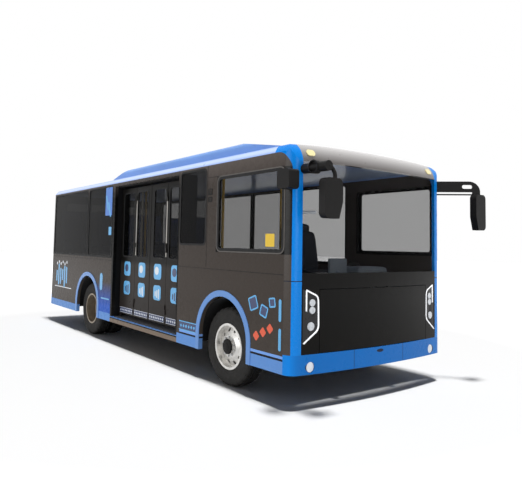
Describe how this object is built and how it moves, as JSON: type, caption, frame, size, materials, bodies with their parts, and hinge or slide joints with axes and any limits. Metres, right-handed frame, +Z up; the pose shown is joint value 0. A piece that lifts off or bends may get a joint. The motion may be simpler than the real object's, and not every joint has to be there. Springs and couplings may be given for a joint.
{
  "type": "electric minibus",
  "caption": "Small electric city bus with a flat-sided low-floor body, bowed front, roof fairing and a folding four-panel door",
  "frame": {"origin": "middle of the overall box at ground level, under the tyres", "axes": "+X forward along the bus, +Y to its left, +Z up"},
  "size_m": [6.992, 2.755, 2.543],
  "materials": {
    "frame_paint": "satin",
    "deck_cover": "matte",
    "housing_black": "matte",
    "battery_case": "satin",
    "axle_iron": "satin",
    "bellows": "matte",
    "body_blue": "gloss",
    "pod_blue": "gloss",
    "header_grey": "gloss",
    "side_grey": "gloss",
    "front_black": "gloss",
    "tinted_glass": "clear",
    "trim_blue": "gloss",
    "jamb_black": "satin",
    "bright_steel": "satin",
    "lamp_clear": "gloss",
    "lamp_amber": "gloss",
    "lamp_red": "gloss",
    "mirror_case": "satin",
    "mirror_face": "polished",
    "dash_grey": "matte",
    "wheel_rubber": "satin",
    "driver_cloth": "matte",
    "seat_shell": "satin",
    "rail_yellow": "gloss",
    "tyre": "matte",
    "wheel_silver": "satin"
  },
  "bodies": {
    "coach": {"chassis_frame": "frame_paint", "floor": "deck_cover", "wheel_housings": "housing_black", "battery_pack": "battery_case", "front_axle": "axle_iron", "rear_axle": "axle_iron", "air_springs": "bellows", "roof": "body_blue", "roof_pod": "pod_blue", "front_header": "header_grey", "corner_posts": "body_blue", "front_cowl": "front_black", "front_bumper": "body_blue", "rear_upper": "side_grey", "rear_lower": "side_grey", "rear_bumper": "body_blue", "windscreen": "tinted_glass", "rear_window": "tinted_glass", "side_glass": "tinted_glass", "side_upper_right": "side_grey", "side_upper_left": "side_grey", "side_lower_right": "side_grey", "side_lower_left": "side_grey", "arch_trims": "trim_blue", "door_frame": "jamb_black", "headlamps": "lamp_clear", "small_lamps": "lamp_amber", "tail_lamps": "lamp_red", "mirror_right": "mirror_case", "mirror_left": "mirror_case", "mirror_glass": "mirror_face", "dashboard": "dash_grey", "driver_seat": "driver_cloth", "passenger_seats": "seat_shell", "handrails": "rail_yellow"},
    "knuckle_right": {"knuckle_right": "axle_iron"},
    "knuckle_left": {"knuckle_left": "axle_iron"},
    "tie_rod": {"tie_rod": "bright_steel"},
    "front_wheel_right": {"front_tyre_right": "tyre", "front_wheel_right": "wheel_silver"},
    "front_wheel_left": {"front_tyre_left": "tyre", "front_wheel_left": "wheel_silver"},
    "rear_wheel_right": {"rear_tyres_right": "tyre", "rear_wheels_right": "wheel_silver"},
    "rear_wheel_left": {"rear_tyres_left": "tyre", "rear_wheels_left": "wheel_silver"},
    "steering_wheel": {"steering_wheel": "wheel_rubber"},
    "door_post_rear": {"door_post_panel_rear": "side_grey", "door_post_glass_rear": "tinted_glass"},
    "door_post_front": {"door_post_panel_front": "side_grey", "door_post_glass_front": "tinted_glass"},
    "door_lead_rear": {"door_lead_panel_rear": "side_grey", "door_lead_glass_rear": "tinted_glass"},
    "door_lead_front": {"door_lead_panel_front": "side_grey", "door_lead_glass_front": "tinted_glass"},
    "rear_hatch": {"rear_hatch": "side_grey"},
    "front_flap": {"front_flap": "front_black"}
  },
  "joints": [
    {"name": "steer_right", "type": "hinge", "parent": "coach", "child": "knuckle_right", "pos_m": [2.11, -0.915, 0.4], "axis": [0, 0, 1], "range_deg": [-38, 38]},
    {"name": "steer_left", "type": "hinge", "parent": "coach", "child": "knuckle_left", "pos_m": [2.11, 0.71, 0.4], "axis": [0, 0, 1], "range_deg": [-38, 38]},
    {"name": "tie_rod_swing", "type": "hinge", "parent": "knuckle_right", "child": "tie_rod", "pos_m": [1.93, -0.915, 0.32], "axis": [0, 0, 1], "range_deg": [-38, 38]},
    {"name": "front_spin_right", "type": "hinge", "parent": "knuckle_right", "child": "front_wheel_right", "pos_m": [2.11, -1.045, 0.4], "axis": [0, 1, 0], "continuous": true},
    {"name": "front_spin_left", "type": "hinge", "parent": "knuckle_left", "child": "front_wheel_left", "pos_m": [2.11, 0.84, 0.4], "axis": [0, 1, 0], "continuous": true},
    {"name": "rear_spin_right", "type": "hinge", "parent": "coach", "child": "rear_wheel_right", "pos_m": [-1.63, -0.927, 0.4], "axis": [0, 1, 0], "continuous": true},
    {"name": "rear_spin_left", "type": "hinge", "parent": "coach", "child": "rear_wheel_left", "pos_m": [-1.63, 0.722, 0.4], "axis": [0, 1, 0], "continuous": true},
    {"name": "steering_wheel_turn", "type": "hinge", "parent": "coach", "child": "steering_wheel", "pos_m": [2.43995, 0.2975, 1.0745], "axis": [-0.866, 0, 0.5], "range_deg": [-532, 532]},
    {"name": "door_rear_swing", "type": "hinge", "parent": "coach", "child": "door_post_rear", "pos_m": [-0.643, -1.0935, 1.3], "axis": [0, 0, 1], "range_deg": [0, 83]},
    {"name": "door_rear_fold", "type": "hinge", "parent": "door_post_rear", "child": "door_lead_rear", "pos_m": [-0.198, -1.1165, 1.3], "axis": [0, 0, 1], "range_deg": [-166, 0]},
    {"name": "door_front_swing", "type": "hinge", "parent": "coach", "child": "door_post_front", "pos_m": [1.137, -1.0935, 1.3], "axis": [0, 0, -1], "range_deg": [0, 83]},
    {"name": "door_front_fold", "type": "hinge", "parent": "door_post_front", "child": "door_lead_front", "pos_m": [0.692, -1.1165, 1.3], "axis": [0, 0, -1], "range_deg": [-166, 0]},
    {"name": "rear_hatch_lift", "type": "hinge", "parent": "coach", "child": "rear_hatch", "pos_m": [-3.49, -0.0175, 1.147], "axis": [0, 1, 0], "range_deg": [0, 85]},
    {"name": "front_flap_lift", "type": "hinge", "parent": "coach", "child": "front_flap", "pos_m": [3.226, -0.0175, 1.063], "axis": [0, -1, 0], "range_deg": [0, 80]}
  ],
  "couplings": [
    {"joint": "steer_left", "follows": "steer_right", "ratio": 1},
    {"joint": "tie_rod_swing", "follows": "steer_right", "ratio": -1},
    {"joint": "steering_wheel_turn", "follows": "steer_right", "ratio": 14},
    {"joint": "door_rear_fold", "follows": "door_rear_swing", "ratio": -2},
    {"joint": "door_front_fold", "follows": "door_front_swing", "ratio": -2}
  ]
}
